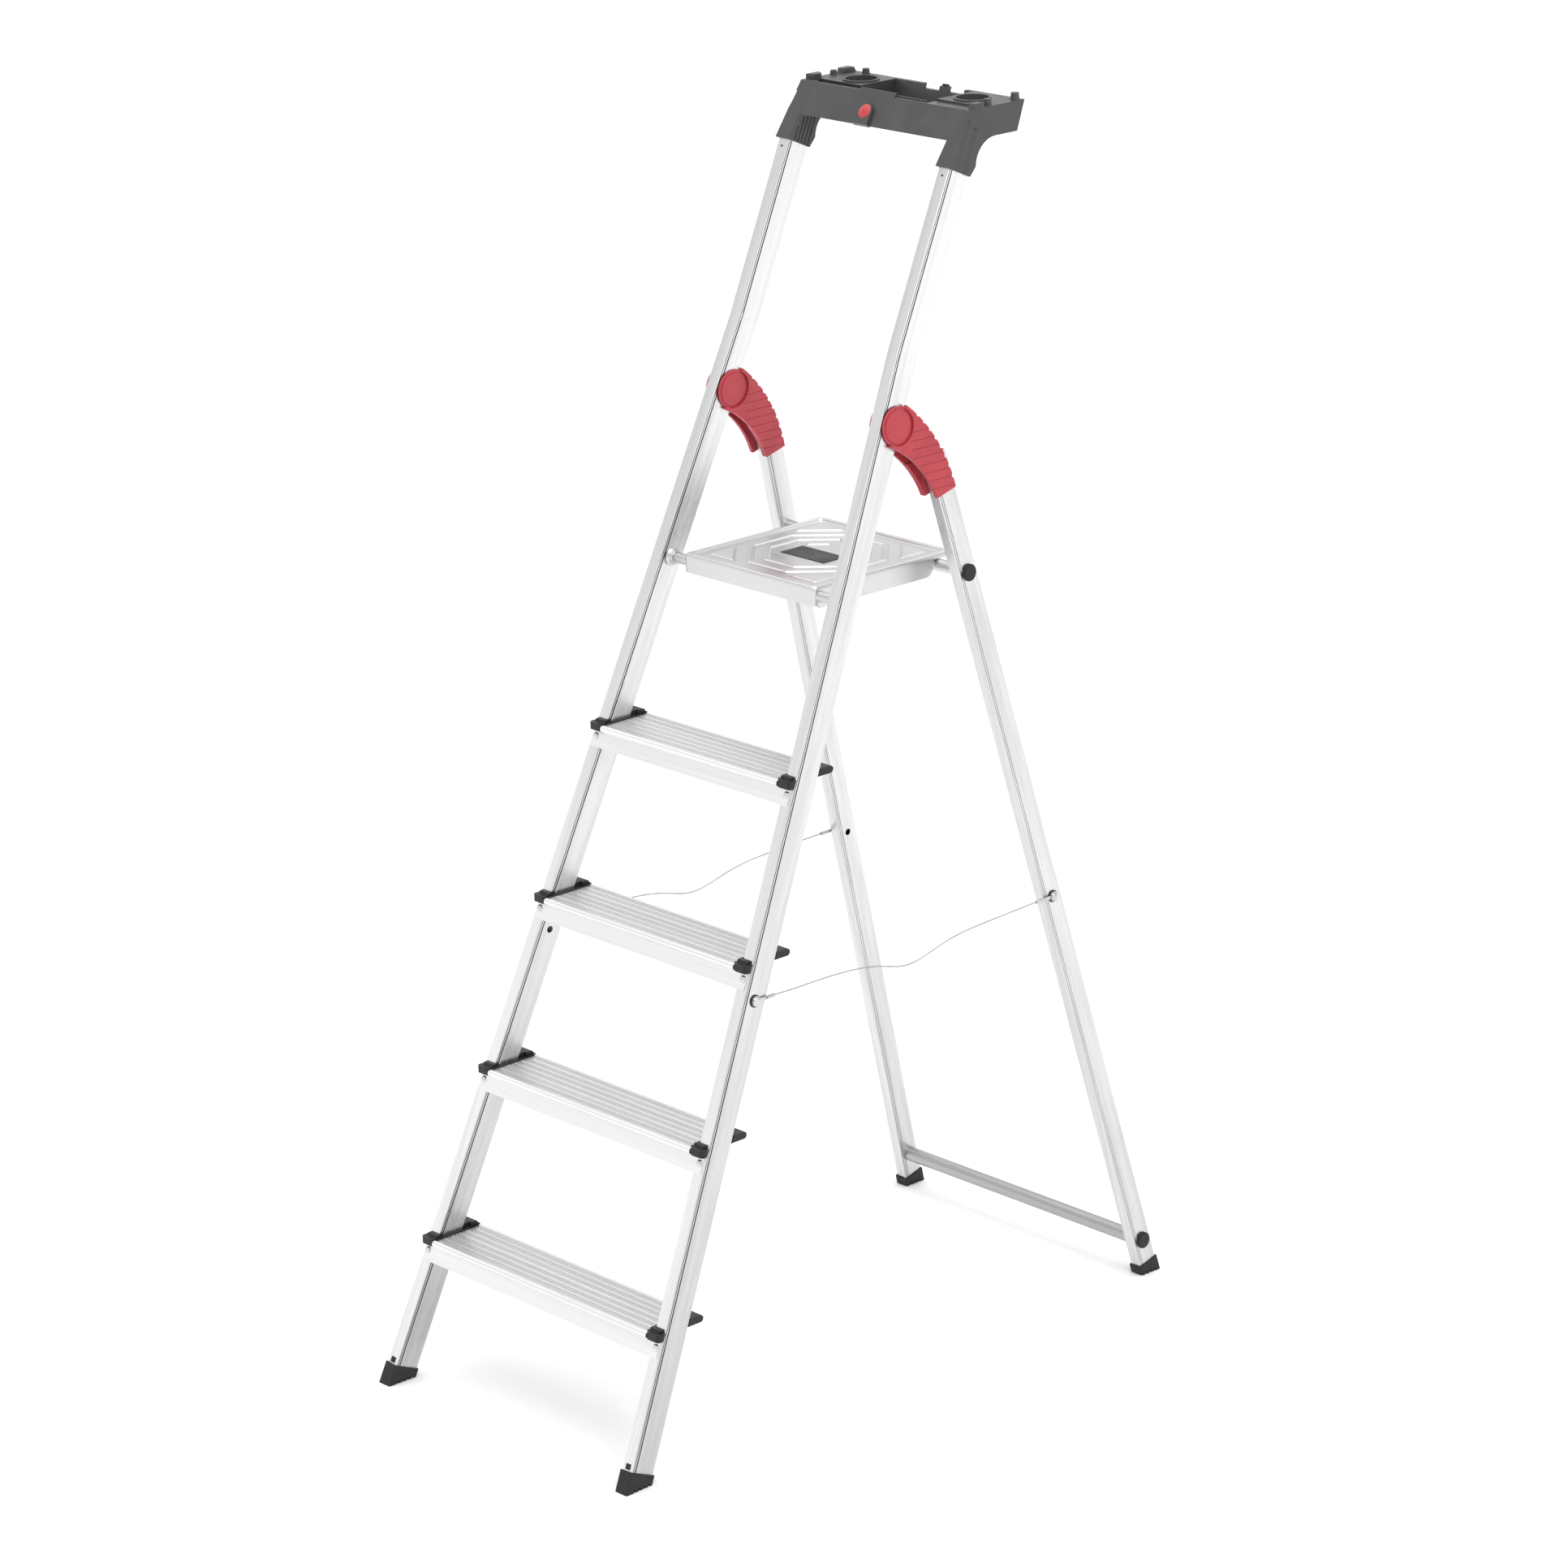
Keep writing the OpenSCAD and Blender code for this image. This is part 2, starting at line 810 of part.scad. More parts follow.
// ---- Platform ------------------------------------------------------------

module plat_outline(inset, r) {
  translate([-plat_half_w + inset, plat_y + inset])
    rounded(2 * (plat_half_w - inset), plat_d - 2 * inset, r);
}

// Eight-sided outline: a is half its width and b half of each straight side
function eight(a, b) =
  [[a, b], [b, a], [-b, a], [-a, b], [-a, -b], [-b, -a], [b, -a], [a, -b]];

// Raised beads round the middle, a raised triangle in each corner, two short bars behind
module plat_pattern() {
  w = 6.4;
  for (ring = [[85, 34], [63.6, 25.4]]) difference() {
    polygon(eight(ring[0] + w / 2, ring[1] + 0.207 * w));
    polygon(eight(ring[0] - w / 2, ring[1] - 0.207 * w));
  }
  for (x = [-1, 1], y = [-1, 1])
    polygon([[x * 95.5, y * 51], [x * 51, y * 95.5], [x * 95.5, y * 95.5]]);
  for (x = [-1, 1])
    polygon([[x * 37, 16], [x * 41.5, 20.5], [x * 20.5, 41.5], [x * 16, 37]]);
}

module platform_plate() {
  low = platform_h - plat_skirt;
  sheet = platform_h - 3.5;
  color(bright) difference() {
    union() {
      difference() {
        translate([0, 0, low]) linear_extrude(plat_skirt) plat_outline(0, 7);
        // hollow underside, with a deeper channel behind the rolled edge
        translate([0, 0, low - 1]) linear_extrude(sheet - 2 - low + 1) plat_outline(1.8, 5.2);
        translate([0, 0, low]) linear_extrude(plat_skirt - 1.8) difference() {
          plat_outline(1.8, 5.2);
          plat_outline(9, 3);
        }
        // sunken field inside the rolled edge
        translate([0, 0, sheet]) linear_extrude(10) plat_outline(11, 5);
      }
      translate([0, plat_y + plat_d / 2, sheet - 0.5]) linear_extrude(2.4) plat_pattern();
    }
    // front skirt is shorter than the side skirts
    translate([-200, plat_y - 5, low - 5]) cube([400, 12, 8]);
    // rear of the side skirts is cut away over the rear rod
    along_x(-200, 200) difference() {
      translate([167, low - 5]) square([80, platform_h - 7.4 - low + 5]);
      translate([167, low + 14]) circle(r = 14);
      translate([160, low + 14]) square([21, 20]);
    }
    rod_line() rod_x(rod_r + 0.05, -200, 200);
    translate([-39.1, 67.4, sheet - 0.8]) cube([78.2, 38.7, 10]);
  }
}

module platform_label() {
  color(black) translate([-39, 67.5, platform_h - 4.25]) cube([78, 38.5, 1.5]);
}

stile_left();
stile_right();
tread_1();
tread_2();
tread_3();
tread_4();
tread_caps();
tread_rivets();
front_feet();
front_rod();
rod_collars();
tool_tray();
tray_badge();
tray_pins();
hinge_pins();
rope_bolts_front();
rope_washers_front();
rope_lugs_front();
rope_left();
rope_right();
leg_left();
leg_right();
hinge_outer_left();
hinge_outer_right();
hinge_inner_left();
hinge_inner_right();
hinge_rivets();
rear_rod();
rear_rod_caps();
cross_tube();
cross_tube_caps();
rear_feet();
rope_bolts_rear();
rope_washers_rear();
rope_lugs_rear();
platform_plate();
platform_label();
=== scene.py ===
import json
import math
import bpy
import bmesh
from mathutils import Matrix, Vector

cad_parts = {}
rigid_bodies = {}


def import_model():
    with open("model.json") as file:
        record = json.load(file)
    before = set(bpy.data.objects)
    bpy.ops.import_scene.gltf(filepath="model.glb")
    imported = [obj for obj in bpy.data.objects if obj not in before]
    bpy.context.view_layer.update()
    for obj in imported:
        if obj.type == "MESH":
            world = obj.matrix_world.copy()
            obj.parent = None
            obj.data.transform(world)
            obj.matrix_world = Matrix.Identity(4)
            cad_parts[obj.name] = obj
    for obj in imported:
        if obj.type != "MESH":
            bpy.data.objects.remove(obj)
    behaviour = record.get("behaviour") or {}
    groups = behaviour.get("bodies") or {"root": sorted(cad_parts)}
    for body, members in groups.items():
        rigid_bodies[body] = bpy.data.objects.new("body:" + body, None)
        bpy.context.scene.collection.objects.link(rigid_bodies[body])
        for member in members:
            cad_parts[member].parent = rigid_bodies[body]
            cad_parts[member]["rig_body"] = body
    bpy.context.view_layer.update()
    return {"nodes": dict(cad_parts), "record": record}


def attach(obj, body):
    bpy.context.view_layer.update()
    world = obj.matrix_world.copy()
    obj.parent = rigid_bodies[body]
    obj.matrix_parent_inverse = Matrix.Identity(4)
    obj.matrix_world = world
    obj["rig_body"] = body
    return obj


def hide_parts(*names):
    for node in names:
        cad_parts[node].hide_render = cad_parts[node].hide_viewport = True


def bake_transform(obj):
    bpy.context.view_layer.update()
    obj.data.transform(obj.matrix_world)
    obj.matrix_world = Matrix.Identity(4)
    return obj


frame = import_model()
NODES = frame["nodes"]
SLOT_OF = {s["node"]: s["material_slot"] for s in frame["record"]["subparts"]}
scene = bpy.context.scene

STILE_LEAN = math.radians(23.5)  # the front bars lean back from the upright
LEG_LEAN = math.radians(15.0)  # the rear legs lean forward from the upright

STILES = ("stile_left", "stile_right")
LEGS = ("leg_left", "leg_right")
TREADS = ("tread_1", "tread_2", "tread_3", "tread_4")
HINGES = ("hinge_outer_left", "hinge_outer_right", "hinge_inner_left", "hinge_inner_right")


# ---- Camera ---------------------------------------------------------------

CAMERA_AT = (4.55089, -4.21789, 2.76911)
YAW, PITCH, ROLL = (math.radians(a) for a in (46.979, -18.1107, -1.1898))
SENSOR_MM, LENS_MM = 36, 119.22
CLIP_END = 200


def add_camera():
    forward = Vector((-math.sin(YAW) * math.cos(PITCH), math.cos(YAW) * math.cos(PITCH),
                      math.sin(PITCH)))
    level = Vector((math.cos(YAW), math.sin(YAW), 0))
    upright = level.cross(forward)
    side = math.cos(ROLL) * level + math.sin(ROLL) * upright
    top = -math.sin(ROLL) * level + math.cos(ROLL) * upright
    data = bpy.data.cameras.new("camera")
    data.sensor_width = SENSOR_MM
    data.lens = LENS_MM
    data.clip_end = CLIP_END
    ob = bpy.data.objects.new("camera", data)
    scene.collection.objects.link(ob)
    ob.matrix_world = Matrix((
        (side.x, top.x, -forward.x, CAMERA_AT[0]),
        (side.y, top.y, -forward.y, CAMERA_AT[1]),
        (side.z, top.z, -forward.z, CAMERA_AT[2]),
        (0, 0, 0, 1)))
    scene.camera = ob


add_camera()


# ---- Materials ------------------------------------------------------------

class Finish:
    """One procedural material: a Principled shader and the nodes that feed it."""

    def __init__(self, name, base, metallic, rough, specular=0.5):
        self.material = bpy.data.materials.new(name)
        self.material.use_nodes = True
        self.tree = self.material.node_tree
        self.tree.nodes.clear()
        out = self.node("OutputMaterial")
        self.shader = self.node("BsdfPrincipled", {
            "Base Color": (*base, 1), "Metallic": metallic, "Roughness": rough,
            "Specular IOR Level": specular})
        self.link(self.shader.outputs[0], out.inputs[0])
        self.coord = self.node("TexCoord")
        self.last_bump = None

    def node(self, kind, values=None, **settings):
        n = self.tree.nodes.new("ShaderNode" + kind)
        for key, value in settings.items():
            setattr(n, key, value)
        for key, value in (values or {}).items():
            n.inputs[key].default_value = value
        return n

    def link(self, source, target):
        self.tree.links.new(source, target)

    def space(self, turn, scale):
        """Object coordinates turned about X, then stretched."""
        turned = self.node("Mapping", {"Rotation": (turn, 0, 0)})
        self.link(self.coord.outputs["Object"], turned.inputs["Vector"])
        stretched = self.node("Mapping", {"Scale": scale})
        self.link(turned.outputs[0], stretched.inputs["Vector"])
        return stretched.outputs[0]

    def noise(self, vector, detail, rough=0.5, distort=0.0):
        n = self.node("TexNoise", {
            "Scale": 1.0, "Detail": detail, "Roughness": rough, "Distortion": distort})
        self.link(vector, n.inputs["Vector"])
        return n.outputs["Fac"]

    def span(self, value, lo, hi, start=0.3, stop=0.7):
        """The value's range from start to stop, mapped to lo to hi and held beyond."""
        n = self.node("MapRange", {
            "From Min": start, "From Max": stop, "To Min": lo, "To Max": hi})
        self.link(value, n.inputs["Value"])
        return n.outputs[0]

    def math(self, op, *terms):
        n = self.node("Math", operation=op)
        for k, term in enumerate(terms):
            if isinstance(term, (int, float)):
                n.inputs[k].default_value = term
            else:
                self.link(term, n.inputs[k])
        return n.outputs[0]

    def tint(self, value, dark, light):
        n = self.node("Mix", data_type="RGBA")
        n.inputs["A"].default_value = (*dark, 1)
        n.inputs["B"].default_value = (*light, 1)
        self.link(value, n.inputs["Factor"])
        self.link(n.outputs["Result"], self.shader.inputs["Base Color"])

    def tone(self, side, front):
        """Painted shade: the colour scaled by height, as (low, high, from z, to z), one way on a
        bar's sides and another on its front, as light falls on them.
        """
        facing, place = self.node("SeparateXYZ"), self.node("SeparateXYZ")
        self.link(self.node("NewGeometry").outputs["Normal"], facing.inputs[0])
        self.link(self.coord.outputs["Object"], place.inputs[0])
        on_side = self.math("GREATER_THAN", self.math("ABSOLUTE", facing.outputs["X"]),
                            SIDE_FACING)
        on_front = self.math("SUBTRACT", 1.0, on_side)
        height = place.outputs["Z"]
        level = self.math("ADD", self.math("MULTIPLY", on_side, self.span(height, *side)),
                          self.math("MULTIPLY", on_front, self.span(height, *front)))
        n = self.node("Mix", {"Factor": 1.0}, data_type="RGBA", blend_type="MULTIPLY")
        base = self.shader.inputs["Base Color"]
        self.link(base.links[0].from_socket, n.inputs["A"])
        self.link(level, n.inputs["B"])
        self.link(n.outputs["Result"], base)

    def rough(self, value):
        self.link(value, self.shader.inputs["Roughness"])

    def bump(self, value, distance, strength):
        """Adds a bump on top of the earlier ones."""
        n = self.node("Bump", {"Strength": strength, "Distance": distance})
        self.link(value, n.inputs["Height"])
        if self.last_bump is not None:
            self.link(self.last_bump, n.inputs["Normal"])
        self.link(n.outputs[0], self.shader.inputs["Normal"])
        self.last_bump = n.outputs[0]


# A bar's side, picked out by the normal below, takes its own painted shade
SIDE_FACING = 0.6  # a normal that points further than this along X belongs to a bar's side
LONG_AXIS = 50  # a stretch below this lies along the grain


def band_stretch(stretch):
    """Soft bands: the grain's pattern, drawn wider across it and longer along it."""
    return tuple(s * 0.3 if s <= LONG_AXIS else s * 0.2 for s in stretch)


def grained_metal(name, turn, stretch, light, dark, lo=0.25, hi=0.40, grain=0.00003, tone=None):
    """Satin aluminium with grain and soft bands along one direction, faint smears, and painted
    shade by height when asked for.
    """
    m = Finish(name, light, 1.0, (lo + hi) / 2)
    lines = m.noise(m.space(turn, stretch), 4.0, 0.6)
    bands = m.noise(m.space(turn, band_stretch(stretch)), 2.0)
    smear = m.noise(m.space(0, (9, 9, 5)), 3.0, 0.55, 0.4)
    streak = m.math("ADD", m.span(lines, 0.0, 0.45), m.span(bands, 0.0, 0.55, 0.35, 0.65))
    m.tint(streak, dark, light)
    # Painted shade: the bar's sides and front darkened by height, standing in for how light falls
    # on them
    if tone:
        m.tone(*tone)
    m.rough(m.math("ADD", m.span(lines, lo, hi, 0.35, 0.65), m.span(smear, -0.02, 0.03)))
    m.bump(lines, grain, 0.5)
    m.bump(smear, 0.0004, 0.04)
    return m.material


def moulded(name, base, rough, specular=0.4, grain=0.00006, coat=0.0):
    """Moulded plastic with a fine grain, faint flow marks and rubbed patches."""
    m = Finish(name, base, 0.0, rough, specular)
    fine = m.noise(m.space(0, (1500, 1500, 1500)), 2.0, 0.6)
    flow = m.noise(m.space(0, (22, 22, 14)), 3.0, 0.5, 0.6)
    rub = m.noise(m.space(0, (70, 70, 70)), 4.0, 0.6)
    m.tint(m.span(flow, 0.0, 1.0), tuple(c * 0.86 for c in base),
           tuple(min(1, c * 1.12) for c in base))
    m.rough(m.math("ADD", m.span(rub, rough - 0.06, rough + 0.07), m.span(flow, -0.04, 0.04)))
    m.bump(fine, grain, 0.6)
    if coat:
        m.shader.inputs["Coat Weight"].default_value = coat
        m.shader.inputs["Coat Roughness"].default_value = 0.25
    return m.material


# Noise scales on the three axes: small along the grain, large across it
ALONG_BAR = (520, 520, 3.0)
ALONG_TREAD = (4.0, 420, 420)
ALONG_ROD = (6, 300, 300)

MATERIALS = {
    # The stile's sides are darker towards the bottom and its front darker towards the top: painted
    # shade
    "stile": grained_metal(
        "aluminium_stile", STILE_LEAN, ALONG_BAR, (0.86, 0.86, 0.865), (0.70, 0.70, 0.71),
        tone=((0.66, 1.0, 0.1, 1.35), (1.0, 0.86, 0.4, 1.1))),
    # The legs' sides and front are darker towards the bottom: painted shade
    "leg": grained_metal(
        "aluminium_leg", -LEG_LEAN, ALONG_BAR, (0.73, 0.73, 0.735), (0.58, 0.58, 0.59),
        tone=((0.88, 1.0, 0.1, 0.6), (0.96, 0.98, 0.1, 0.6))),
    "tread": grained_metal(
        "aluminium_tread", 0, ALONG_TREAD, (0.88, 0.88, 0.885), (0.76, 0.76, 0.765), 0.28, 0.44),
    "platform": grained_metal(
        "aluminium_platform", 0, (10, 60, 60), (0.67, 0.67, 0.675), (0.57, 0.57, 0.575),
        0.27, 0.38, 0.00002),
    "bar": grained_metal(
        "aluminium_bar", 0, ALONG_ROD, (0.66, 0.66, 0.665), (0.52, 0.52, 0.53), 0.24, 0.36),
    "tube": grained_metal(
        "aluminium_tube", 0, ALONG_ROD, (0.47, 0.47, 0.475), (0.36, 0.36, 0.365), 0.26, 0.38),
    # Rivets: darker than the treads, partly their own metal and partly painted shade for the shaded
    # ring round each rivet
    "rivet": grained_metal(
        "rivet_metal_and_shade", 0, (300, 300, 300), (0.70, 0.70, 0.70), (0.56, 0.56, 0.56), 0.2, 0.32),
    "bolt": grained_metal(
        "zinc_plate", 0, (260, 260, 260), (0.66, 0.66, 0.66), (0.45, 0.45, 0.46), 0.25, 0.4),
    "rope": grained_metal(
        "steel_rope", 0, (900, 120, 900), (0.56, 0.56, 0.56), (0.34, 0.34, 0.35), 0.35, 0.5),
    # Darker colours for the faces in the grooves: painted shade in the grooves
    "groove": grained_metal(
        "stile_groove_shade", STILE_LEAN, ALONG_BAR, (0.12, 0.12, 0.125), (0.05, 0.05, 0.055),
        0.45, 0.6),
    "leg_groove": grained_metal(
        "leg_groove", -LEG_LEAN, ALONG_BAR, (0.68, 0.68, 0.685), (0.56, 0.56, 0.57), 0.4, 0.55),
    "tread_groove": grained_metal(
        "tread_groove", 0, ALONG_TREAD, (0.68, 0.68, 0.685), (0.55, 0.55, 0.555), 0.35, 0.5),
    "black_plastic": moulded("black_plastic", (0.013, 0.013, 0.014), 0.42, 0.3),
    "tray_plastic": moulded("tray_plastic", (0.048, 0.048, 0.050), 0.40, 0.45),
    "foot_rubber": moulded("foot_rubber", (0.018, 0.018, 0.019), 0.62, 0.3),
    "red_plastic": moulded("red_plastic", (0.41, 0.034, 0.048), 0.40, 0.45),
    "badge": moulded("badge_plastic", (0.50, 0.018, 0.03), 0.25, grain=0.00001, coat=0.6),
}

# Nodes whose grain, colour or painted shade differs from the rest of their material slot
OWN_LOOK = {"leg_left": "leg", "leg_right": "leg", "cross_tube": "tube"}


# ---- Ropes ----------------------------------------------------------------

ROPE_R = 0.0010
ROPE_ROUTE = [
    (0.2003, -0.192, 0.5581), (0.2, -0.1805, 0.5581), (0.1999, -0.147, 0.5572),
    (0.1999, -0.119, 0.5573), (0.1998, -0.091, 0.5569), (0.1997, -0.063, 0.5557),
    (0.1996, -0.035, 0.5532), (0.1996, -0.011, 0.5492), (0.1995, 0.011, 0.5437),
    (0.1995, 0.029, 0.5387), (0.1994, 0.046, 0.5363), (0.1994, 0.061, 0.5369),
    (0.1994, 0.077, 0.5397), (0.1993, 0.093, 0.5437), (0.1993, 0.109, 0.5477),
    (0.1992, 0.129, 0.5515), (0.1992, 0.153, 0.5543), (0.1991, 0.181, 0.5558),
    (0.199, 0.211, 0.557), (0.199, 0.241, 0.5582), (0.1989, 0.262, 0.559),
    (0.1989, 0.2793, 0.5592), (0.19905, 0.2908, 0.5592),
]
ROPE_STEPS = 6  # pieces drawn between two points of the route
ROPE_SIDES = 12  # points round the rope: six strands, so every second one lies in a valley
ROPE_VALLEY = 0.86  # radius in a valley, as a share of the rope's
ROPE_TWIST = 0.9  # turn from one ring to the next, in radians


def smooth_route(pts):
    """Points along a curve that passes through the given ones."""
    fine = []
    for i in range(len(pts) - 1):
        p0 = pts[max(0, i - 1)]
        p1, p2 = pts[i], pts[i + 1]
        p3 = pts[min(len(pts) - 1, i + 2)]
        for k in range(ROPE_STEPS):
            t = k / ROPE_STEPS
            fine.append(0.5 * ((2 * p1) + (p2 - p0) * t
                               + (2 * p0 - 5 * p1 + 4 * p2 - p3) * t * t
                               + (3 * p1 - p0 - 3 * p2 + p3) * t ** 3))
    fine.append(pts[-1])
    return fine


def object_from(bm, name):
    me = bpy.data.meshes.new(name)
    bm.to_mesh(me)
    bm.free()
    ob = bpy.data.objects.new(name, me)
    scene.collection.objects.link(ob)
    return ob


def rope(name, side):
    """Stranded rope along the route, drawn finely."""
    fine = smooth_route([Vector((side * x, y, z)) for x, y, z in ROPE_ROUTE])
    bm = bmesh.new()
    rings = []
    for i, p in enumerate(fine):
        d = (fine[min(i + 1, len(fine) - 1)] - fine[max(0, i - 1)]).normalized()
        up = Vector((0, -d.z, d.y))
        ring = []
        for k in range(ROPE_SIDES):
            a = 2 * math.pi * k / ROPE_SIDES + i * ROPE_TWIST
            r = ROPE_R * (1.0 if k % 2 else ROPE_VALLEY)
            ring.append(bm.verts.new(
                p + r * math.cos(a) * Vector((1, 0, 0)) + r * math.sin(a) * up))
        rings.append(ring)
    for a, b in zip(rings, rings[1:]):
        for k in range(ROPE_SIDES):
            j = (k + 1) % ROPE_SIDES
            bm.faces.new((a[k], b[k], b[j], a[j]))
    bm.faces.new(rings[0])
    bm.faces.new(list(reversed(rings[-1])))
    bmesh.ops.recalc_face_normals(bm, faces=bm.faces)
    for f in bm.faces:
        f.smooth = True
    ob = object_from(bm, name + "_strands")
    ob.data.materials.append(MATERIALS["rope"])
    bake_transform(ob)
    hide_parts(name)


rope("rope_left", -1)
rope("rope_right", 1)


# ---- Bodies: CAD nodes shown as copies with softened edges ------------------

REDRAWN = ("platform_plate", "rope_left", "rope_right")  # these have shapes of their own here
USUAL_BEVEL = 0.0004
BEVEL = {
    **dict.fromkeys(STILES + LEGS + ("front_rod", "rear_rod", "cross_tube"), 0.0),
    **dict.fromkeys(HINGES + ("tool_tray",), 0.0011),
    **dict.fromkeys(TREADS, 0.0003),
    "tread_caps": 0.0006, "front_feet": 0.0008, "rear_feet": 0.0008, "platform_label": 0.0005,
}
WELD = 0.000004  # vertices closer than this are one
FLAT = math.radians(0.6)  # facets that turn by less than this are one face
MANY_SIDES = 60  # a face with more sides than this is cut into triangles
BEVEL_ANGLE = math.radians(35)
SHARP_ANGLE = math.radians(38)

# Faces in the grooves take these darker materials: painted shade in the grooves
GROOVE_LOOK = {
    **dict.fromkeys(STILES, "groove"),
    **dict.fromkeys(LEGS, "leg_groove"),
    **dict.fromkeys(TREADS, "tread_groove"),
}

# The CAD's own measures in millimetres, for finding the faces that lie in a groove
FIRST_DECK, RISE, NOSE = 183, 210, 6
DECK_GROOVE = (-0.6, -0.1)  # heights from the deck
STILE_FOOT_Y = -475
BEND_UP = 1306 / math.cos(STILE_LEAN)  # the bend, measured along the stile
BEND_X, STILE_SPLAY, STILE_W = 150.4, math.radians(3.41), 18
HINGE_Y, HINGE_Z = 82, 1214
LEG_TOP_X, LEG_SPLAY, LEG_W, LEG_FRONT = 157.2, math.radians(3.3), 17, 37
GROOVE_DEPTHS = (1.5, 6.5)  # both side grooves, measured from the bar's front
GROOVE_INSETS = (0.3, 1.0)  # their floors and walls, measured from the bar's side


def in_groove(name, point):
    """Whether a point lies in the fine grooves of a bar's sides or of a tread's deck."""
    x, y, z = abs(point.x) * 1000, point.y * 1000, point.z * 1000
    if name in TREADS:
        deck = FIRST_DECK + RISE * (int(name[-1]) - 1)
        front = STILE_FOOT_Y + deck * math.tan(STILE_LEAN) - NOSE
        return y > front and DECK_GROOVE[0] < z - deck < DECK_GROOVE[1]
    if name in STILES:
        y -= STILE_FOOT_Y
        depth = y * math.cos(STILE_LEAN) - z * math.sin(STILE_LEAN)
        up = y * math.sin(STILE_LEAN) + z * math.cos(STILE_LEAN)
        splay = STILE_SPLAY if up < BEND_UP else 0.0
        inset = -((x - BEND_X) * math.cos(splay) + (up - BEND_UP) * math.sin(splay))
        width = STILE_W
    else:
        y, z = y - HINGE_Y, z - HINGE_Z
        depth = y * math.cos(LEG_LEAN) + z * math.sin(LEG_LEAN) - LEG_FRONT
        up = -y * math.sin(LEG_LEAN) + z * math.cos(LEG_LEAN)
        inset = -((x - LEG_TOP_X) * math.cos(LEG_SPLAY) + up * math.sin(LEG_SPLAY))
        width = LEG_W
    inset = min(inset, width - inset)
    return (GROOVE_DEPTHS[0] < depth < GROOVE_DEPTHS[1]
            and GROOVE_INSETS[0] < inset < GROOVE_INSETS[1])


def dress(ob, name):
    """The object takes its CAD node's place, body and material."""
    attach(ob, NODES[name]["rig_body"])
    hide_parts(name)
    slot = SLOT_OF[name]
    ob.data.materials.clear()
    ob.data.materials.append(MATERIALS[OWN_LOOK.get(name, slot)])


def softened(name, width):
    """A clean, welded copy of a CAD node with rounded edges and smooth normals."""
    bm = bmesh.new()
    bm.from_mesh(NODES[name].data)
    bmesh.ops.remove_doubles(bm, verts=bm.verts, dist=WELD)
    bmesh.ops.dissolve_limit(bm, angle_limit=FLAT, verts=bm.verts, edges=bm.edges)
    bmesh.ops.triangulate(bm, faces=[f for f in bm.faces if len(f.verts) > MANY_SIDES])
    for f in bm.faces:
        f.smooth = True
    ob = object_from(bm, name + "_shape")
    if width:
        b = ob.modifiers.new("edges", "BEVEL")
        b.width = width
        b.segments = 3
        b.limit_method = "ANGLE"
        b.angle_limit = BEVEL_ANGLE
        b.use_clamp_overlap = True
        b.miter_outer = "MITER_ARC"
        b.harden_normals = False
    ob.data.set_sharp_from_angle(angle=SHARP_ANGLE)
    w = ob.modifiers.new("normals", "WEIGHTED_NORMAL")
    w.keep_sharp = True
    w.weight = 80
    dress(ob, name)
    # Faces in a groove take the darker second material: painted shade
    if name in GROOVE_LOOK:
        ob.data.materials.append(MATERIALS[GROOVE_LOOK[name]])
        for f in ob.data.polygons:
            if in_groove(name, f.center):
                f.material_index = 1


for name in NODES:
    if name not in REDRAWN:
        softened(name, BEVEL.get(name, USUAL_BEVEL))


# ---- Platform: pressed sheet with a rolled rim, drawn as a fine height field ----
# In millimetres: FRONT, REAR, TOP and CUT_Y in the shared frame, the rest from the plate's
# middle, edge or top.

HALF_W, FRONT, REAR, TOP = 119.0, -24.5, 215.0, 1025.0
MID, HALF_D = (FRONT + REAR) / 2, (REAR - FRONT) / 2
CELLS = 214  # squares of the height field along each side
FIELD_INSET = 12.0  # from the plate's edge to the sunken field
CORNER_R, LEAST_R = 7, 4.5
SUNK, BEAD = -3.5, 1.9  # height of the field, and of what stands up from it
RINGS = ((85, 34), (63.6, 25.4))  # octagonal beads: half width and half side
RING_HALF, RING_FLANK = 4.2, 3.0
TRIANGLE_OUT, TRIANGLE_IN = 96.5, 145.5  # corner triangles: largest x or y, least x + y
BAR_OUT, BAR_HALF_W, BAR_HALF_L = 57.5, 4.0, 15.6  # short rear bars: x + y, half sizes
FLANK = 2.8  # width of the slope round the triangles and bars
SKIRT_FRONT, SKIRT_SIDE, SKIRT_REAR = -25.0, -28.0, -7.4
CUT_Y, CUT_R = 167, 14  # the skirt's round cutaway over the rear rod

# Rings down and round the edge, as (inset, height); no height means the skirt's lower edge
RIM = ((11.2, -3.48), (10.5, -3.25), (9.9, -2.6), (9.3, -1.6), (8.7, -0.75), (8.0, -0.2),
       (7.0, 0), (5.2, 0), (4.0, -0.12), (3.0, -0.45), (2.1, -1.05), (1.3, -1.8), (0.7, -2.7),
       (0.25, -3.8), (0.05, -5.0), (0, -6.4))
SKIRT = ((0, None), (0.3, None), (1.5, None), (1.8, None), (1.8, -2.6), (9.2, -2.6),
         (9.2, -5.5))


def ease(t):
    t = min(1, max(0, t))
    return t * t * (3 - 2 * t)


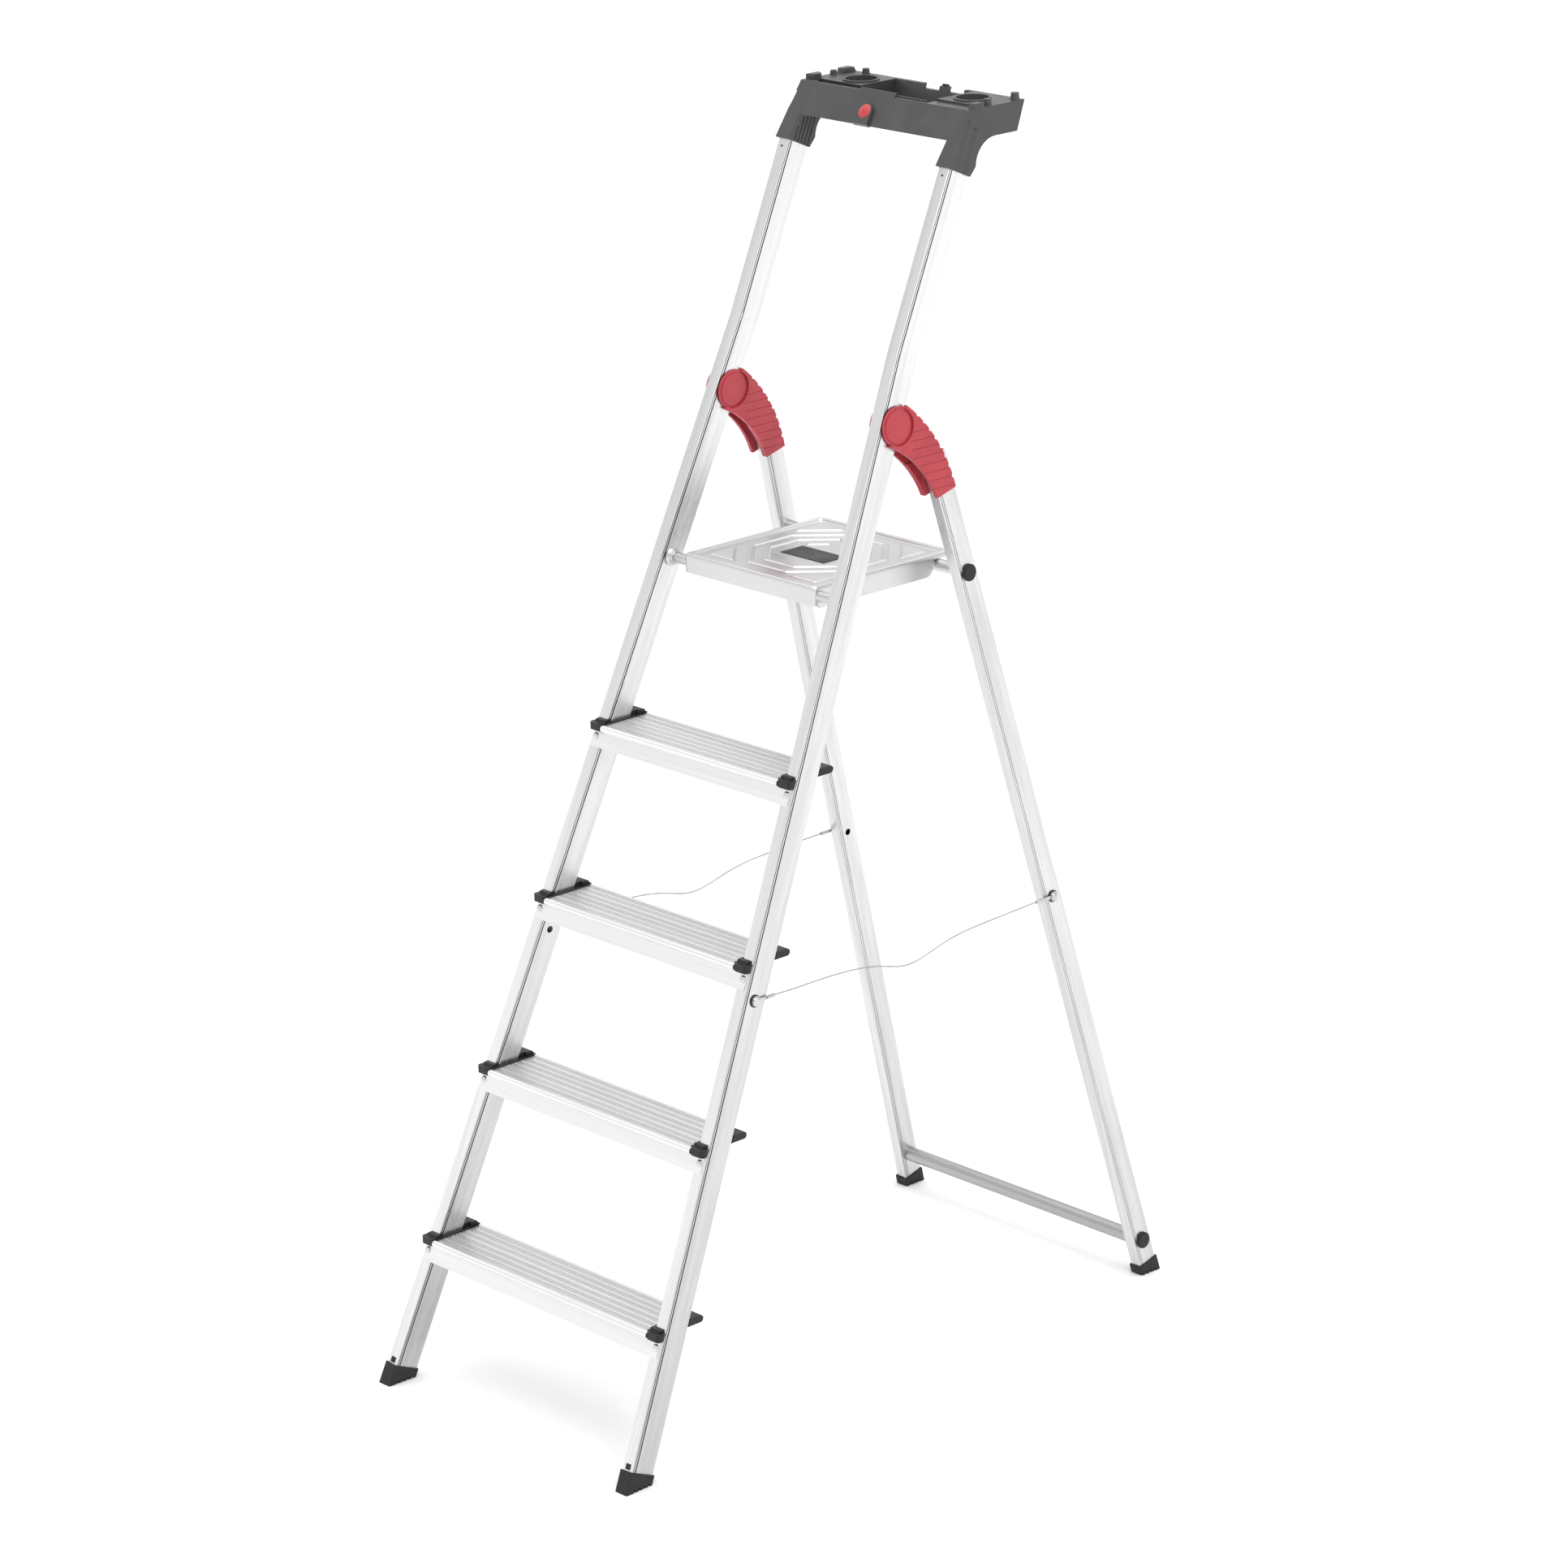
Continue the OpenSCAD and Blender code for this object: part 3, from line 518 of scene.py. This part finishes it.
def pressed(x, y):
    """Height of the sunken field with its beads, corner triangles and two short bars."""
    ax, ay = abs(x), abs(y)
    h = 0.0
    for half, side in RINGS:
        d = max(ax - half, ay - half, (ax + ay - half - side) / math.sqrt(2))
        h = max(h, ease((RING_HALF - abs(d)) / RING_FLANK))
    d = max(ax - TRIANGLE_OUT, ay - TRIANGLE_OUT, (TRIANGLE_IN - ax - ay) / math.sqrt(2))
    h = max(h, ease(-d / FLANK))
    if y > 0:
        d = max(abs(ax + ay - BAR_OUT) / math.sqrt(2) - BAR_HALF_W,
                abs(ax - ay) / math.sqrt(2) - BAR_HALF_L)
        h = max(h, ease(-d / FLANK))
    return SUNK + BEAD * h


def skirt_low(y):
    """Lower edge of the skirt at a depth: short in front, cut away over the rear rod."""
    if y < FRONT + CORNER_R:
        return SKIRT_FRONT
    if y <= CUT_Y:
        return SKIRT_SIDE
    if y <= CUT_Y + CUT_R:
        return -CUT_R - math.sqrt(max(0.0, CUT_R ** 2 - (y - CUT_Y) ** 2))
    return SKIRT_REAR


def platform_shape():
    bm = bmesh.new()
    hx, hy = HALF_W - FIELD_INSET, HALF_D - FIELD_INSET

    def vert(x, y, z):
        return bm.verts.new((x / 1000, (y + MID) / 1000, (z + TOP) / 1000))

    def at(i):
        return 2 * i / CELLS - 1

    grid = [[vert(hx * at(i), hy * at(j), pressed(hx * at(i), hy * at(j)))
             for j in range(CELLS + 1)] for i in range(CELLS + 1)]
    for i in range(CELLS):
        for j in range(CELLS):
            bm.faces.new((grid[i][j], grid[i + 1][j], grid[i + 1][j + 1], grid[i][j + 1]))
    edge = ([(i, 0) for i in range(CELLS)] + [(CELLS, j) for j in range(CELLS)]
            + [(i, CELLS) for i in range(CELLS, 0, -1)] + [(0, j) for j in range(CELLS, 0, -1)])

    def ring(d, z):
        """The field's edge moved out to an inset of d, with rounded corners."""
        radius = max(CORNER_R - d, LEAST_R)
        cx, cy = HALF_W - d - radius, HALF_D - d - radius
        made = []
        for i, j in edge:
            x, y = (HALF_W - d) * at(i), (HALF_D - d) * at(j)
            if abs(x) > cx and abs(y) > cy:
                vx, vy = abs(x) - cx, abs(y) - cy
                length = math.hypot(vx, vy)
                x = math.copysign(cx + radius * vx / length, x)
                y = math.copysign(cy + radius * vy / length, y)
            made.append(vert(x, y, skirt_low(y + MID) if z is None else z))
        return made

    rings = [[grid[i][j] for i, j in edge]] + [ring(d, z) for d, z in RIM + SKIRT]
    for a, b in zip(rings, rings[1:]):
        for k in range(len(edge)):
            m = (k + 1) % len(edge)
            bm.faces.new((a[k], b[k], b[m], a[m]))
    bm.faces.new(rings[-1])
    bmesh.ops.recalc_face_normals(bm, faces=bm.faces)
    for f in bm.faces:
        f.smooth = len(f.verts) == 4
    ob = object_from(bm, "platform_pressed")
    ob.data.set_sharp_from_angle(angle=math.radians(50))
    dress(ob, "platform_plate")


platform_shape()


# ---- Stage and light --------------------------------------------------------

FLOOR_SIZE, FLOOR_Z = 80, -0.0002
# The floor is darker near the ladder: painted shade, fading out to the pale floor far away
FLOOR_SHADE_NEAR, FLOOR_FAR = (0.90, 0.90, 0.90), (0.97, 0.97, 0.97)
FADE_FROM, FADE_TO = 0.2, 6.0  # metres from the middle, where the floor turns paler

# Brightness of the surroundings by the Z of the direction: 0 is level, 1 is straight up
SKY_STRENGTH = 1.55
SKY_LOW, SKY_HIGH = 0.74, 1
SKY = ((0.17, 0.74), (0.30, 0.64), (0.40, 0.56), (0.50, 0.56), (0.68, 0.78))


def add_floor():
    bm = bmesh.new()
    bmesh.ops.create_grid(bm, x_segments=1, y_segments=1, size=FLOOR_SIZE / 2)
    floor = object_from(bm, "floor")
    floor.location.z = FLOOR_Z
    m = Finish("pale_floor", (0.9, 0.9, 0.9), 0.0, 0.9, 0.05)
    away = m.node("VectorMath", operation="LENGTH")
    m.link(m.coord.outputs["Object"], away.inputs[0])
    # Painted shade: floor colour darker near the middle, paler further away
    m.tint(m.span(away.outputs["Value"], 0.0, 1.0, FADE_FROM, FADE_TO), FLOOR_SHADE_NEAR, FLOOR_FAR)
    m.bump(m.noise(m.space(0, (300, 300, 300)), 2.0), 0.0001, 0.2)
    floor.data.materials.append(m.material)


def softbox(name, place, aim, size, power):
    data = bpy.data.lights.new(name, "AREA")
    data.shape = "RECTANGLE"
    data.size = data.size_y = size
    data.energy = power
    data.spread = math.pi
    ob = bpy.data.objects.new(name, data)
    scene.collection.objects.link(ob)
    ob.location = place
    ob.rotation_euler = (Vector(aim) - Vector(place)).to_track_quat("-Z", "Y").to_euler()


def add_world():
    world = bpy.data.worlds.new("studio")
    scene.world = world
    world.use_nodes = True
    tree = world.node_tree
    tree.nodes.clear()
    out = tree.nodes.new("ShaderNodeOutputWorld")
    glow = tree.nodes.new("ShaderNodeBackground")
    glow.inputs["Strength"].default_value = SKY_STRENGTH
    coord = tree.nodes.new("ShaderNodeTexCoord")
    split = tree.nodes.new("ShaderNodeSeparateXYZ")
    ramp = tree.nodes.new("ShaderNodeValToRGB")
    stops = ramp.color_ramp.elements
    for height, level in SKY:
        stops.new(height).color = (level, level, level, 1)
    stops[0].color = (SKY_LOW, SKY_LOW, SKY_LOW, 1)
    stops[-1].color = (SKY_HIGH, SKY_HIGH, SKY_HIGH, 1)
    tree.links.new(coord.outputs["Generated"], split.inputs[0])
    tree.links.new(split.outputs["Z"], ramp.inputs["Fac"])
    tree.links.new(ramp.outputs[0], glow.inputs["Color"])
    tree.links.new(glow.outputs[0], out.inputs[0])


add_floor()
softbox("key_right", (3.4, -0.6, 4.2), (0, 0, 0.8), 2.4, 45)
softbox("overhead", (-0.4, 0.4, 5.0), (0, 0, 0), 4.0, 60)
add_world()

scene.view_settings.view_transform = "Standard"
scene.view_settings.look = "None"
